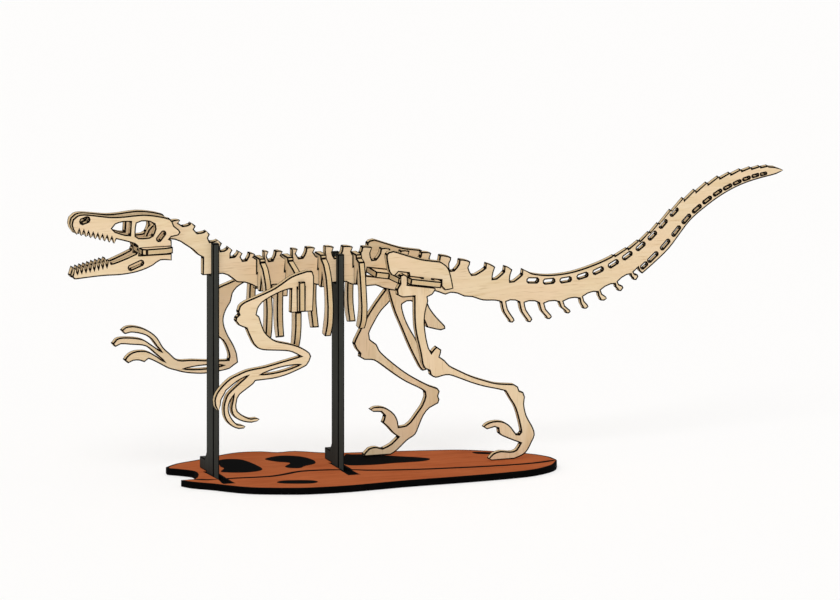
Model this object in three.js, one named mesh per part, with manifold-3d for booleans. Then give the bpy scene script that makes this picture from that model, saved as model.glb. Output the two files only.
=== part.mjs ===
// A wooden 3D jigsaw: the skeleton of a long-tailed running dinosaur, standing on two black
// uprights over a brown base.
//
// Every piece is cut from one thickness of sheet and holds its neighbours by slots. Pieces that
// stand along the body lie in X-Z planes, ribs and uprights lie in Y-Z planes, and three cross
// plates lie flat. Millimetres, +Z up, the head towards -X. The origin is on the underside of
// the base.
import * as THREE from 'three';
import { mergeVertices } from 'three/addons/utils/BufferGeometryUtils.js';
import Module from 'manifold-3d';

const wasm = await Module();
wasm.setup();
const { Manifold } = wasm;

// ---- driving dimensions -------------------------------------------------------------------
const SHEET = 3;            // thickness of every sheet
const FIT = 0.15;           // play on each side of a slot
const REST = 0.3;           // gap kept where one piece stands on another
const BASE_TOP = SHEET;

const SPINE_Y = 0;          // centre planes of the pieces that stand along the body
const SKULL_Y = 5;              // at TURN_X
const TOE_IN = 4.6;             // degrees
const TURN_X = -131;
const ARM_Y = 17.7;
const LEG_Y = 13.5;
const PUBIS_Y = 3.5;

const RIB_X = { rib_front: -79.3, shoulder_girdle: -65.9, rib_middle: -50, rib_rear: -33 };
const LAP_Z = 95;           // where ribs and spine meet halfway
const POST_X = { post_front: -101.7, post_rear: -41.6 };
const POST_WIDTH = 9;
const SEAT_Z = { front: 95.8, rear: 88 };    // the spine's underside in the uprights' forks

const HIP_CENTRE = [-10, 89];   // X and Z of the middle of the tilted hip plate
const HIP_TILT = 9.6;           // degrees, nose up
const JAW_BAR_Z = [108.3, 111.3];

// ---- materials ----------------------------------------------------------------------------
const plywood = () => new THREE.MeshStandardMaterial({ color: '#dec7a0', roughness: 0.7, metalness: 0 });
const brownBoard = () => new THREE.MeshStandardMaterial({ color: '#a9562f', roughness: 0.65, metalness: 0 });
const blackBoard = () => new THREE.MeshStandardMaterial({ color: '#30312e', roughness: 0.5, metalness: 0 });

// ---- outlines -----------------------------------------------------------------------------
// A point is [a, b], or [a, b, 1] where the saw turned a sharp corner. The stretches between
// sharp corners are Catmull-Rom curves, cut into short straight cuts of about STEP.
const STEP = 1.9;

function smooth(points) {
  const n = points.length;
  const at = (i) => points[(i + n) % n];
  const out = [];
  for (let i = 0; i < n; i++) {
    const [p1, p2] = [at(i), at(i + 1)];
    const p0 = p1[2] ? p1 : at(i - 1);
    const p3 = p2[2] ? p2 : at(i + 2);
    const straight = p1[2] && p2[2];
    const length = Math.hypot(p2[0] - p1[0], p2[1] - p1[1]);
    const cuts = straight ? 1 : Math.max(1, Math.min(3, Math.round(length / STEP)));
    for (let k = 0; k < cuts; k++) {
      const t = k / cuts;
      out.push([0, 1].map((c) => 0.5 * (2 * p1[c] + (p2[c] - p0[c]) * t
        + (2 * p0[c] - 5 * p1[c] + 4 * p2[c] - p3[c]) * t * t
        + (3 * p1[c] - p0[c] - 3 * p2[c] + p3[c]) * t * t * t)));
    }
  }
  return out;
}

// A slit that runs out to a point at both ends, given the same way.
function lens(a, b, length, width, angle) {
  const turn = THREE.MathUtils.degToRad(angle);
  const at = (t, side) => {
    const u = length * (t - 0.5), v = side * width * 2 * t * (1 - t);
    return [a + u * Math.cos(turn) - v * Math.sin(turn), b + u * Math.sin(turn) + v * Math.cos(turn)];
  };
  const steps = [0, 1, 2, 3, 4, 5, 6, 7];
  return [...steps.map((i) => at(i / 8, -1)), ...steps.map((i) => at(1 - i / 8, 1))];
}

// A round-ended slit: centre, length, width and the angle of its long side in degrees.
function slit(a, b, length, width, angle) {
  const turn = THREE.MathUtils.degToRad(angle);
  const ends = 8;
  return Array.from({ length: ends }, (_, i) => {
    const t = (2 * Math.PI * (i + 0.5)) / ends;
    const u = 0.5 * (length - width) * Math.sign(Math.cos(t)) + 0.54 * width * Math.cos(t);
    const v = 0.54 * width * Math.sin(t);
    return [a + u * Math.cos(turn) - v * Math.sin(turn), b + u * Math.sin(turn) + v * Math.cos(turn)];
  });
}

// ---- solids -------------------------------------------------------------------------------
function toManifold(geometry) {
  const bare = geometry.clone();
  bare.deleteAttribute('normal');
  bare.deleteAttribute('uv');
  const merged = mergeVertices(bare, 1e-5);
  const mesh = new wasm.Mesh({
    numProp: 3,
    vertProperties: new Float32Array(merged.attributes.position.array),
    triVerts: new Uint32Array(merged.index.array),
  });
  return new Manifold(mesh);
}

function extrude(outline, holes, matrix) {
  const corners = outline.map(([a, b]) => new THREE.Vector2(a, b));
  if (THREE.ShapeUtils.isClockWise(corners)) corners.reverse();
  const shape = new THREE.Shape(corners);
  for (const hole of holes) shape.holes.push(new THREE.Path(hole.map(([a, b]) => new THREE.Vector2(a, b))));
  const geometry = new THREE.ExtrudeGeometry(shape, { depth: SHEET, bevelEnabled: false });
  geometry.translate(0, 0, -SHEET / 2);
  geometry.applyMatrix4(matrix);
  return toManifold(geometry);
}

const basis = (u, v, w, at) => new THREE.Matrix4()
  .makeBasis(new THREE.Vector3(...u), new THREE.Vector3(...v), new THREE.Vector3(...w))
  .setPosition(...at);

// A sheet along the body: outline in X and Z. A sheet across it: outline in Y and Z.
// A flat sheet: outline in X and Y.
const along = (y, outline, holes = []) => extrude(outline, holes, basis([1, 0, 0], [0, 0, 1], [0, -1, 0], [0, y, 0]));
const across = (x, outline, holes = []) => extrude(outline, holes, basis([0, 1, 0], [0, 0, 1], [1, 0, 0], [x, 0, 0]));
const flat = (z, outline, holes = []) => extrude(outline, holes, basis([1, 0, 0], [0, 1, 0], [0, 0, 1], [0, 0, z]));

function block(x, y, z) {
  const size = [x, y, z].map(([low, high]) => high - low);
  const geometry = new THREE.BoxGeometry(...size);
  geometry.translate(...[x, y, z].map(([low, high]) => (low + high) / 2));
  return toManifold(geometry);
}

const band = (centre, width = SHEET) => [centre - width / 2 - FIT, centre + width / 2 + FIT];

// ---- spine: neck, back and tail in one sheet ------------------------------------------------
// Each row is one upright of a vertebra: its top's front and rear corners, then the bottom of
// the gap behind it.
const VERTEBRAE = [
  [-121, 122.4, -117.9, 122.1, -116, 119.4],
  [-112.7, 120.6, -110.4, 118.9, -109, 115.6],
  [-105.4, 116.4, -103.6, 114.6, -103, 111.1],
  [-99.9, 111.8, -97.8, 110, -97.8, 106.5],
  [-94.7, 108.2, -92.7, 106.5, -93, 103.3],
  [-89.9, 106, -87.9, 104.7, -87.2, 101.3],
  [-84.6, 104.8, -81.8, 103.8, -80, 101.3],
  [-78.4, 105, -75.4, 104.6, -74.6, 100.3],
  [-72, 104.8, -68.6, 104.2, -67, 100.6],
  [-65.2, 105.2, -61.4, 104.8, -60.2, 100.6],
  [-57.2, 105.4, -53, 104.8, -51.6, 100.6],
  [-48.2, 105.2, -44, 104.6, -43, 99.5],
  [-39.8, 104.8, -34.8, 104, -33.4, 99.6],
  [-30.4, 103.9, -25.6, 103.2, -25, 97.4],
  [-21.4, 102.6, -16.8, 101.8, -15.6, 96.6],
  [-12, 100.8, -7.6, 100.2, -6.4, 95],
  [-2, 99.4, 2.8, 98.6, 4.6, 92.6],
  [7, 97.4, 12.4, 96, 12.6, 89.8],
  [16.4, 94.8, 21.6, 93.4, 23, 87.2],
  [29.2, 92.2, 33.6, 90.1, 33, 84.6],
  [38.2, 90.2, 41.8, 88.3, 41.4, 82.8],
  [46.8, 88.2, 51, 86, 50, 81.8],
];

function vertebraTops() {
  const out = [];
  VERTEBRAE.forEach(([x1, z1, x2, z2, gapX, gapZ], i) => {
    const drop = z2 - gapZ;
    out.push([x1, z1], [x2, z2]);
    if (i < VERTEBRAE.length - 1) {
      const next = VERTEBRAE[i + 1];
      out.push([x2 - 0.9, z2 - 0.45 * drop]);
      out.push([gapX - 0.7, gapZ], [gapX + 1.1, gapZ + 0.1]);
      out.push([next[0] - 0.4, gapZ + 0.55 * (next[1] - gapZ)]);
    }
  });
  return out;
}

// Hooks under the tail: front root, rear root, then the tip's front and rear corners.
const CHEVRONS = [
  [36.4, 73.5, 38.9, 73.5, 40.6, 63.8, 42.9, 64.6],
  [45, 72.9, 47.7, 72.5, 49.2, 63.4, 51.4, 64.4],
  [54.5, 71.9, 57.2, 71.5, 58.4, 64.2, 60.8, 65],
  [64.2, 71.6, 66.4, 71.8, 67.6, 66.2, 69.8, 66.8],
  [74.1, 72.6, 75.8, 73.4, 75.8, 67.8, 78.4, 68.5],
  [82.8, 75, 84.3, 75.8, 84.2, 71, 87.2, 71.7],
  [91, 78.2, 92.5, 79.2, 92.6, 74.9, 95.2, 76.1],
  [98.6, 82.2, 100.1, 83.2, 100, 79.5, 102.4, 80.9],
];
const SCALLOP = 0.7;    // how far the edge between two hooks bows up

function chevronEdge() {
  return CHEVRONS.flatMap(([fx, fz, rx, rz, ax, az, bx, bz], i) => {
    const hook = [
      [fx, fz, 1], [fx + 0.28 * (ax - fx), 0.5 * (fz + az)], [ax - 0.4, az + 1], [ax, az],
      [0.45 * ax + 0.55 * bx, az - 0.2], [bx, bz], [bx - 0.4, bz + 1],
      [rx + 0.2 * (bx - rx), rz - 0.4 * (rz - bz)], [rx, rz, 1],
    ];
    const next = CHEVRONS[i + 1];
    if (!next) return hook;
    const between = (t) => [rx + t * (next[0] - rx), rz + t * (next[1] - rz) + SCALLOP];
    return [...hook, between(0.3), between(0.7)];
  });
}

const TAIL_TOP = [[59, 84.6], [68, 84.9], [75, 86.2], [82, 88.2], [87, 90]];
const TAIL_STEPS = [    // overlapping crest plates towards the tip, and the drop behind each
  [90.6, 91.6, 0.35], [97, 94.4, 0.4], [102.6, 97.6, 0.45], [107.6, 101.2, 0.5], [112, 105, 0.6],
  [118, 110.8, 0.9], [124, 115.9, 1.2], [129.6, 119.3, 1.1], [135.4, 122.3, 1], [141, 124.7, 0.9],
  [146.4, 126.1, 0.8], [151.6, 127.3, 0.7], [156.4, 127.9, 0.6], [160.8, 128.2, 0.5], [164.6, 128.2, 0.4],
  [168, 127.4, 0.3],
];
const TAIL_UNDER = [
  [168.6, 124], [161.3, 122.6], [156, 121.4], [150.8, 119.8], [145.6, 117.6], [140.4, 114.8], [135.2, 111.4],
  [130, 107.6], [126.3, 104.2], [122.7, 99.8], [117, 92.8], [110.4, 87], [104.2, 82.1, 1],
];
const TAIL_HOLES = [    // centre and slope of each slit between the tail bones
  [51.6, 82.6, -4],  [59.4, 81.7, 2], [67.4, 81.8, 6], [75.5, 83.1, 14], [83, 85, 22], [90.3, 87.7, 28], [97, 91, 33],
  [103.4, 94.9, 38], [109, 99.5, 44], [114.2, 104.6, 47], [119.5, 109.7, 44],
];
const TAIL_LOWER_HOLES = [
  [105.1, 85.9, 41],  [109.3, 89.5, 42], [115.2, 94.9, 47], [120.5, 100.8, 50], [125.4, 106.1, 45], [130.4, 110.5, 38],
  [135.4, 114.2, 34], [140.4, 117.3, 30], [145.2, 119.6, 24], [149.8, 121.4, 20], [154.3, 122.9, 16],
  [158.6, 124, 12], [162.4, 124.5, 8],
];

function spineOutline() {
  const crest = TAIL_STEPS.flatMap(([x, z, drop]) => [[x, z, 1], [x + 0.5, z - drop, 1]]);
  return smooth([
    [-124, 121.4], [-129, 121.6], [-133, 118.6], [-135, 113], [-134.4, 107], [-131, 105.2], [-126, 105],
    [-124.6, 106.5, 1], [-124.6, 113.8, 1],
    [-120.5, 113.2], [-117.9, 112.1], [-115.2, 110.2], [-112, 108], [-109.4, 105.4], [-107, 104, 1],
    [-107, SEAT_Z.front, 1], [-97.5, SEAT_Z.front, 1],
    [-95, 94.9], [-92.8, 93.2], [-90.6, 91.4], [-87, 91], [-83.4, 89.6], [-81.4, 88.4], [-77, 88.4],
    [-72, 89], [-68, 88], [-64, 87.8], [-60, 88.4], [-54, 88], [-50, 87.2],
    [-45.4, SEAT_Z.rear, 1], [-38.2, SEAT_Z.rear, 1], [-35.6, 86.6], [-32, 86.2], [-28.4, 85.3],
    [-24, 85.4], [-20.4, 83.8], [-14, 82.2],
    [-6, 81.8], [0, 81.4], [5, 80.6], [9.6, 78.8], [12, 79.5], [15.6, 78.8], [18.6, 77.3], [22.4, 76.8],
    [27.6, 74.9], [33.4, 74.4],
    ...chevronEdge(),
    [102.2, 85, 1], [102.8, 83.4],
    ...TAIL_UNDER.slice().reverse(),
    [172, 125.6, 1],
    ...crest.slice().reverse(),
    ...TAIL_TOP.slice().reverse(),
    ...vertebraTops().reverse(),
  ]);
}

const hipPlateLine = (x) => HIP_CENTRE[1] - Math.tan(THREE.MathUtils.degToRad(HIP_TILT)) * (x - HIP_CENTRE[0]);

function hipBlock(x, y, grow) {
  // the hip plate's own thickness, as a cutter, between two stations along its slope
  const geometry = new THREE.BoxGeometry(x[1] - x[0], y[1] - y[0], SHEET + 2 * grow);
  geometry.translate((x[0] + x[1]) / 2, (y[0] + y[1]) / 2, 0);
  geometry.applyMatrix4(hipPlane());
  return toManifold(geometry);
}

function hipPlane() {
  const t = THREE.MathUtils.degToRad(HIP_TILT);
  return basis([Math.cos(t), 0, -Math.sin(t)], [0, 1, 0], [Math.sin(t), 0, Math.cos(t)],
    [HIP_CENTRE[0], 0, HIP_CENTRE[1]]);
}

function makeSpine() {
  const slits = [
    ...TAIL_HOLES.map(([x, z, turn], i) => slit(x, z, 5 - 0.1 * i, 1.8 - 0.05 * i, turn)),
    ...TAIL_LOWER_HOLES.map(([x, z, turn], i) => slit(x, z, i ? 5.6 - 0.25 * i : 3.2, 1.4 - 0.06 * i, turn)),
  ];
  let solid = along(SPINE_Y, spineOutline(), slits);
  for (const x of Object.values(RIB_X)) solid = solid.subtract(block(band(x), [-9, 9], [LAP_Z, 140]));
  solid = solid.subtract(block([-145, -130], [-9, 9], [JAW_BAR_Z[0] - FIT, JAW_BAR_Z[1] + FIT]));
  return solid.subtract(hipBlock([-18.4, 12.9], [-9, 9], REST));
}

// ---- skull: two side sheets with both jaws, joined by a flat bar ----------------------------
function teeth(from, to, count, height) {
  const out = [];
  for (let i = 0; i < count; i++) {
    const at = (t) => [0, 1].map((c) => from[c] + ((to[c] - from[c]) * t) / count);
    const [root, tip] = [at(i + 0.08), at(i + 0.55)];
    out.push([...root, 1], [tip[0], tip[1] + height, 1]);
  }
  return out;
}

const SKULL = [
  [-171.7, 124.4], [-171, 127.2], [-169, 128.7], [-165.5, 129.1], [-158, 127.9], [-152.6, 127],
  [-147, 126.8], [-141.6, 127], [-137, 127], [-132, 126.3], [-127, 125.1], [-124.3, 124.2], [-123.2, 122.8],
  [-122.4, 120.8], [-120.2, 119], [-119.3, 117.6], [-120.4, 116.2], [-123.8, 115.7], [-124.6, 114.8, 1],
  [-123.6, 114.2, 1], [-123.6, 104.8, 1],
  [-129, 105.2], [-132.4, 103.2], [-136, 101.7], [-140, 100.6], [-144, 100], [-149, 99.7], [-154.5, 99.8],
  [-160, 99.7], [-165.5, 99.4], [-170.4, 99.2], [-171.4, 100.4],
  ...teeth([-171.1, 101.7], [-152.9, 104.8], 9, 2.4),
  [-152.6, 105.3], [-147, 106.8], [-142.4, 108.4], [-140.2, 109.2], [-139.5, 110.8], [-140, 112.4],
  [-141.4, 113.6], [-144, 114.6], [-147.2, 115.6],
  ...teeth([-150, 116.4], [-170.2, 122.4], 9, -2.3),
  [-171.1, 122.4],
];
const SKULL_HOLES = [
  smooth([[-152.2, 121.6], [-150.6, 123.4], [-147, 124.2], [-143.3, 124, 1], [-143.7, 118, 1], [-146, 118.3],
    [-150.8, 120.1]]),
  smooth([[-140.4, 123.2], [-138.2, 123.9], [-134.3, 123.5], [-131.9, 122.2], [-131.5, 120], [-132.8, 117],
    [-134.4, 116.2], [-139.4, 116.3], [-140.9, 117.4]]),
  slit(-165.4, 126.2, 4.2, 2.2, 18),
  slit(-128.7, 116.4, 4.8, 1.7, 50),
  slit(-140.8, 103.7, 7, 1.9, 21),
];

// The two sides lean together, so that they meet at the snout. TOE_IN is the lean, about a
// vertical line at TURN_X, and the outline is shortened and tipped a little to allow for it.
function makeSkull(side) {
  const lean = THREE.MathUtils.degToRad(TOE_IN);
  const shorten = ([x, z]) => [0.976 * (x - TURN_X), z - 0.0178 * (TURN_X - x)];
  const solid = along(0, smooth(SKULL).map(shorten), SKULL_HOLES.map((hole) => hole.map(shorten)))
    .subtract(block([-8.2, 30], [-3, 3], [JAW_BAR_Z[0] - FIT, JAW_BAR_Z[1] + FIT]));
  const turned = basis([Math.cos(lean), side * Math.sin(lean), 0], [-side * Math.sin(lean), Math.cos(lean), 0],
    [0, 0, 1], [TURN_X, side * SKULL_Y, 0]);
  return solid.transform(turned.elements);
}

// The bar slides in from behind: its slots reach forward over the two skull sides and the neck.
function makeJawBar() {
  const half = [[-138.6, 4.2], [-138.4, 7.4], [-136.4, 8.7], [-126.8, 8.7], [-123.5, 7.4]];
  const outline = [...half, ...half.slice().reverse().map(([x, y]) => [x, -y])];
  const solid = flat((JAW_BAR_Z[0] + JAW_BAR_Z[1]) / 2, outline);
  const z = [JAW_BAR_Z[0] - 1, JAW_BAR_Z[1] + 1];
  const neckSlot = block([-130.2, -120], [-SHEET / 2 - FIT, SHEET / 2 + FIT], z);
  return solid.subtract(neckSlot);
}

// ---- ribs and shoulder girdle ---------------------------------------------------------------
// Half outlines in Y and Z: over the spine, out to the side, down and back up inside the arch.
// The slot that drops over the spine is cut afterwards.
const ribHalf = (top, bulge, bend, foot, low) => [
  [0, top, 1], [4, top, 1], [4.6, top - 1.8, 1], [8.2, 98.2, 1], [bulge - 2.2, 91.6], [bulge, bend, 1],
  [bulge - 0.7, 72], [foot, low, 1], [foot - 4, low + 0.7, 1], [bulge - 4.9, 76], [bulge - 4.8, 84],
  [bulge - 6.2, 90], [6.6, 93.6, 1], [5.2, 88.6], [4.4, 87, 1], [0, 87, 1],
];

const GIRDLE_HALF = [
  [0, 102, 1], [4, 102, 1], [4.6, 100.2, 1], [8.6, 98.8], [14, 96.6], [17, 93.8, 1], [20.8, 93.6, 1],
  [21, 79.8, 1], [15.6, 78.6, 1], [15.6, 72], [14.4, 66], [12.2, 61.4, 1], [8.6, 62.4, 1], [10, 70],
  [10, 80], [9, 88], [6.8, 93, 1], [5.2, 88.6], [4.4, 87, 1], [0, 87, 1],
];
const ARM_SEAT_Z = 90.6;

function overSpine(x, half) {
  const outline = smooth([...half, ...half.slice(1, -1).reverse().map(([y, z, c]) => [-y, z, c])]);
  return across(x, outline).subtract(block([x - 5, x + 5], band(SPINE_Y), [80, LAP_Z]));
}

const RIB_HALVES = {
  rib_front: ribHalf(102.2, 14.4, 80.4, 12.4, 67),
  rib_middle: ribHalf(102, 14.4, 80, 10.4, 65.4),
  rib_rear: ribHalf(101, 12.2, 78.6, 8.4, 67.4),
};

function makeGirdle() {
  let solid = overSpine(RIB_X.shoulder_girdle, GIRDLE_HALF);
  for (const side of [-1, 1]) {
    solid = solid.subtract(block([-80, -50], band(side * ARM_Y), [ARM_SEAT_Z, 110]));
  }
  return solid;
}

// ---- arms -----------------------------------------------------------------------------------
// Shoulder blade with the block that drops over the girdle, shared by both arms.
const BLADE_REAR = [[-70.6, 90.4, 1], [-70.9, 79.4, 1], [-60.2, 79.4, 1], [-59.6, 95.6], [-61.6, 98.2],
  [-65, 97.8], [-70.4, 96.2], [-75.4, 93.2], [-80, 90.7], [-88.6, 87.5], [-92.8, 86], [-95.4, 84.1],
  [-96.2, 81.6]];
const BLADE_FRONT = [[-71.6, 90.4], [-75.6, 89.4], [-80.8, 87.2], [-84.5, 85.1], [-86.6, 82.4], [-87.2, 79.8, 1]];

const NEAR_ARM = [
  ...BLADE_REAR,
  [-95.7, 80.2, 1], [-97.1, 79], [-97.4, 77.4], [-95.8, 75.2], [-92.2, 73.6, 1], [-90.7, 70], [-88.7, 66],
  [-87, 64.1], [-83.9, 62.9], [-78.2, 62.3], [-73.4, 61.8], [-70.2, 61], [-66.4, 58.9, 1],
  [-70.4, 58], [-75.6, 56.9], [-82.9, 55.3], [-88.6, 54.6], [-92.4, 53.9], [-96.6, 52.3], [-99.8, 50.9],
  [-103.2, 48.2], [-106.4, 44.4], [-107.5, 41], [-107.2, 38.5], [-105.6, 36.1, 1], [-104.6, 38.6],
  [-104.2, 41.2], [-102.6, 43.8], [-101.9, 45.3, 1], [-96.6, 49.2], [-92, 51.3, 1], [-96, 48.2],
  [-101, 43.8], [-102.4, 40.8], [-103.1, 38], [-103, 34.3], [-101.7, 31.1], [-99.1, 28.5], [-95.9, 27.1],
  [-93.4, 27.2], [-92.6, 28.1], [-94, 28.8], [-96.4, 29.4], [-98.6, 31.5], [-100.2, 34.4],
  [-100.7, 37.4], [-99.9, 40.4], [-98.4, 42.6, 1], [-98.9, 40], [-99.5, 37], [-98.9, 34.2],
  [-97, 32], [-93.8, 30.4], [-89.8, 29.6], [-87, 30.1], [-85.8, 31, 1], [-87.2, 31.7], [-89.8, 31.6],
  [-92.8, 32.8], [-96.3, 35.4], [-97, 38.4], [-96.5, 41.2], [-95.4, 43], [-92.3, 45.2], [-88.8, 47.6],
  [-87.8, 48.9, 1], [-83.4, 49.1], [-78.2, 49.5], [-73, 50.6], [-67.8, 52.4], [-63.2, 54.4],
  [-61.9, 56.2], [-61, 58.6], [-61.9, 60.4], [-65.4, 62.8], [-69.3, 64.5], [-73.5, 65.7], [-77.7, 66.8],
  [-80.8, 68.8], [-83.4, 71.7], [-85, 75.8], [-86, 78.8],
  ...BLADE_FRONT.slice().reverse(),
];

const FAR_ARM = [
  ...BLADE_REAR,
  [-96.4, 79.9], [-98, 78.4], [-97.4, 75.6], [-98, 71], [-97, 66.4], [-94.2, 63.2], [-91.2, 60.8],
  [-89.2, 57], [-88.2, 53.4], [-88.6, 51.8, 1], [-93, 51.9], [-100, 52.4], [-106, 53], [-112.8, 53.4],
  [-117.1, 57], [-120, 59.8], [-122.8, 64.4], [-126.1, 67.4], [-130.4, 69.6], [-134.7, 70.6],
  [-138, 70.2], [-139.9, 68.8], [-138.4, 67.1], [-135.6, 67.6], [-132, 67], [-128.5, 65.8],
  [-125.7, 63.8], [-123.2, 60.4], [-121.2, 58.1, 1], [-126.6, 62.1], [-129.5, 64], [-133.7, 65.1],
  [-139.4, 65.6], [-142.4, 65], [-144.3, 62.9], [-143, 61.4], [-140.4, 62.5], [-136, 62],
  [-130, 61.2], [-127, 59.8], [-123, 56.2], [-119.8, 53.4, 1], [-124.2, 56.6], [-128, 58.5],
  [-132.8, 58.8], [-136.2, 57.6], [-138.5, 54.9], [-136.8, 53.4], [-134.4, 54.4], [-131.4, 54.3],
  [-129, 53.4, 1], [-127.1, 54.8], [-121.4, 51.9], [-117.6, 49.7], [-114, 48.5], [-110.9, 47.5],
  [-106.2, 46.6], [-100, 46.1], [-93, 46.7], [-88, 47.6], [-86, 49], [-84, 50.2, 1], [-84.6, 54.6],
  [-86.3, 58.8], [-88.7, 63], [-90.4, 67], [-91, 70.4], [-90.4, 73.4], [-89.2, 76], [-87.6, 78.4],
  ...BLADE_FRONT.slice().reverse(),
];

function makeArm(side, outline, forearmSlit) {
  const solid = along(side * ARM_Y, smooth(outline), [forearmSlit]);
  const y = [side * ARM_Y - 3, side * ARM_Y + 3];
  return solid.subtract(block(band(RIB_X.shoulder_girdle), y, [70, ARM_SEAT_Z + REST]));
}

// ---- hips and legs ----------------------------------------------------------------------------
const TONGUE_X = [-16.8, -13.2];    // the leg's tongue, up through the hip plate
const TAB_X = [-6, -1.5];           // the hip bone's tab, down into the hip plate
const HALF_RISE = SHEET / 2 / Math.cos(THREE.MathUtils.degToRad(HIP_TILT));
const plateTop = (x) => hipPlateLine(x) + HALF_RISE + REST;
const plateUnder = (x) => hipPlateLine(x) - HALF_RISE - REST;

function makeHipPlate() {
  // plan outline, along the slope: a nose that holds the spine, then the wide part
  const half = [[-16.2, 7.6], [-9.7, 7.8], [-8.6, 17.6], [12.3, 17.6]];
  const outline = [...half, ...half.slice().reverse().map(([u, y]) => [u, -y])];
  const cuts = [
    block([-5, 40], [-SHEET / 2 - FIT, SHEET / 2 + FIT], [-2, 2]),
  ];
  const cos = Math.cos(THREE.MathUtils.degToRad(HIP_TILT));
  const station = ([low, high]) => [(low - HIP_CENTRE[0]) / cos - 0.6, (high - HIP_CENTRE[0]) / cos + 0.6];
  cuts.push(block(station(PUBIS_TAB_X), band(PUBIS_Y), [-2, 2]));
  for (const side of [-1, 1]) {
    const open = side < 0 ? [-20, -LEG_Y + SHEET / 2 + FIT] : [LEG_Y - SHEET / 2 - FIT, 20];
    cuts.push(block(station(TONGUE_X), open, [-2, 2]));
    cuts.push(block(station(TAB_X), band(side * LEG_Y), [-2, 2]));
  }
  return cuts.reduce((solid, cut) => solid.subtract(cut), flat(0, outline)).transform(hipPlane().elements);
}

function iliumOutline() {
  const edge = plateTop;
  return smooth([
    [-22.2, 103.4], [-23.3, 102.4], [-23.4, 100.8], [-22.8, 97.2], [-22.1, 94.2], [-21, 92.6],
    [-19.6, 91.9, 1], [-17.6, edge(-17.6) + 1.7, 1], [-12.7, edge(-12.7) + 1.7, 1], [-12.4, edge(-12.4), 1],
    [TAB_X[0], edge(TAB_X[0]), 1], [TAB_X[0], plateUnder(TAB_X[0]) + REST, 1],
    [TAB_X[1], plateUnder(TAB_X[1]) + REST, 1], [TAB_X[1], edge(TAB_X[1]), 1],
    [2.9, edge(2.9), 1], [2.9, 85.8, 1], [4.8, 83.8], [8.8, 84.4, 1],
    [8.2, 88], [7.1, 92.4], [5.6, 95.2], [2.6, 97.4, 1], [-2, 98.2], [-6.5, 99.1], [-11.6, 100.8],
    [-16, 102.4], [-20, 103.8],
  ]);
}

// The top of a leg: tongue through the hip plate, and the shoulder that the plate lies on.
const legHead = () => [
  [0.4, plateUnder(0.4) - 0.6], [-0.4, plateUnder(-0.4), 1], [TONGUE_X[1], plateUnder(TONGUE_X[1]), 1],
  [TONGUE_X[1], plateTop(TONGUE_X[1]) + 0.3], [-15, plateTop(-15) + 1.1], [TONGUE_X[0], plateTop(TONGUE_X[0]) + 0.2],
  [TONGUE_X[0], plateUnder(TONGUE_X[0]), 1], [-18.4, 85.6], [-18, 83], [-15.8, 81.9],
];

const TOE_Z = BASE_TOP + REST;

const NEAR_LEG = () => [
  ...legHead(),
  [-10, 82, 1], [-9.9, 71.5], [-9.2, 65], [-7, 55.6], [-6.1, 50.2], [-5, 48.1], [-2.7, 47, 1], [-2.2, 44.9],
  [0.3, 43.5], [3.4, 44.1], [6.6, 44.3], [11.4, 42.5], [17.5, 39.9], [23.6, 37.8], [29.8, 36.2],
  [33.8, 35, 1], [36, 31.2], [38.5, 26.9], [40.4, 20.4], [41.3, 15.6], [40.4, 14.6], [39, 14.8],
  [36.6, 18.2], [33.6, 20.6], [29.8, 21.5], [25.6, 20.9], [23.3, 19], [24.9, 17.9], [28.6, 18.7],
  [30.3, 18, 1], [30.6, 15.6], [31.8, 14.5], [36, 12.5], [41, 10.4, 1], [39, 7.4], [36, 6.8],
  [31.6, 7.4], [27.9, 6.4], [25.8, 4, 1], [27.2, TOE_Z, 1], [38, TOE_Z, 1], [42.2, 4.8],
  [44.6, 7], [46.4, 10.4], [47.9, 13.8], [47, 17.4], [44, 23], [42.8, 28.4], [43.2, 31.8], [42.4, 34],
  [40.5, 34.8, 1], [39.8, 36.8], [38, 38], [29.8, 39], [23.6, 40.9], [17.5, 43.2], [11.4, 46.3],
  [7, 48.8], [4.6, 51.4], [2.2, 53.2, 1], [3, 56.4], [0.8, 58], [-1.8, 55.4, 1], [-3, 57.6], [-4.3, 63],
  [-5, 69.4], [-4.6, 74.4], [-3.3, 79.4], [-3.6, 81.3, 1], [-1.4, 82.2],
];

const FAR_LEG = () => [
  ...legHead(),
  [-14.4, 80.4, 1], [-19, 74.6], [-23.6, 67.9], [-28, 59.9], [-29.7, 56], [-28.6, 53.4], [-26.8, 51.3],
  [-27, 49.6], [-24.8, 48.2], [-21.3, 47.9], [-18.3, 46.5], [-10.8, 40.7], [-5, 36.7], [0.9, 33.6],
  [4.3, 31.4], [4.6, 29.4], [3.2, 25.6], [0.3, 21.6], [-2.6, 17.9], [-4.6, 16.4], [-8.2, 16, 1],
  [-8.6, 18.6], [-10.2, 22], [-13.7, 24.9], [-17.2, 26], [-20.2, 25.8], [-21.9, 24.8], [-20.4, 23.7],
  [-16.6, 23.4], [-14.9, 21.6], [-16, 18.4, 1], [-13.7, 16.3], [-10.8, 13], [-8.5, 11.3, 1], [-11.7, 8.4],
  [-13.7, 7.4], [-16, 6.5], [-18.9, 7.4], [-22.4, 6.9], [-25.1, 4.1, 1], [-24.4, TOE_Z, 1],
  [-12, TOE_Z, 1], [-9, 5.1], [-4.4, 9.2], [-0.3, 11.8], [1.3, 15], [3.8, 20.5], [6.7, 23.7],
  [10.8, 25.6], [11.4, 27.3], [10.8, 29], [11.5, 31.2], [10.5, 32.7], [6.7, 34.2], [0.9, 37.4],
  [-5, 41.2], [-10.8, 45.8], [-15.5, 50], [-17.6, 52.4], [-18.9, 55.2], [-22, 57.6], [-22.4, 60.4],
  [-20.1, 65], [-16.6, 70.4], [-12.4, 74.6], [-10.6, 79], [-9.6, 81.8, 1], [-2.4, 81.8],
];

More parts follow.
